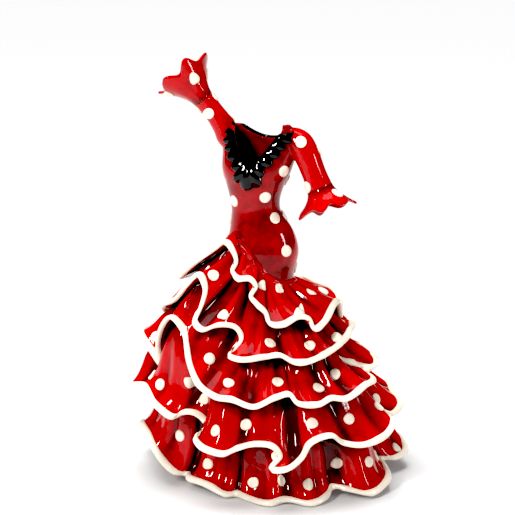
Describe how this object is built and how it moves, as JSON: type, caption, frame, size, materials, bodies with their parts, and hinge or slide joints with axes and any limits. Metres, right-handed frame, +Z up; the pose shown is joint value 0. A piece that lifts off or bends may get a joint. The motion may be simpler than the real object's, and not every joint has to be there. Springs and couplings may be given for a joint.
{
  "type": "flamenco dress",
  "caption": "Close sheath dress with a V neck frill, flared cuffs and gathered flounces with bound edges, cast as a stiff hollow shell that stands on its hem.",
  "frame": {"origin": "under the middle of the whole dress, in the plane that its hem stands on", "axes": "+Z up from hem to neck, -Y the way the wearer faces with the skirt, +X to the lowered left sleeve"},
  "size_m": [0.1714, 0.1556, 0.2547],
  "materials": {
    "red_enamel": "gloss enamel over cast resin, with dark wash in the folds and raised ivory dots",
    "ivory_enamel": "gloss enamel over cast resin",
    "black_enamel": "gloss enamel over cast resin"
  },
  "bodies": {
    "root": {"bodice_front": "red_enamel", "bodice_back": "red_enamel", "skirt_front": "red_enamel", "skirt_back": "red_enamel", "flounce_1": "red_enamel", "flounce_2": "red_enamel", "flounce_3": "red_enamel", "flounce_4": "red_enamel", "flounce_5": "red_enamel", "binding_1": "ivory_enamel", "binding_2": "ivory_enamel", "binding_3": "ivory_enamel", "binding_4": "ivory_enamel", "binding_5": "ivory_enamel", "sleeve_left": "red_enamel", "sleeve_right": "red_enamel", "cuff_left": "red_enamel", "cuff_right": "red_enamel", "neck_frill": "black_enamel"}
  },
  "joints": []
}
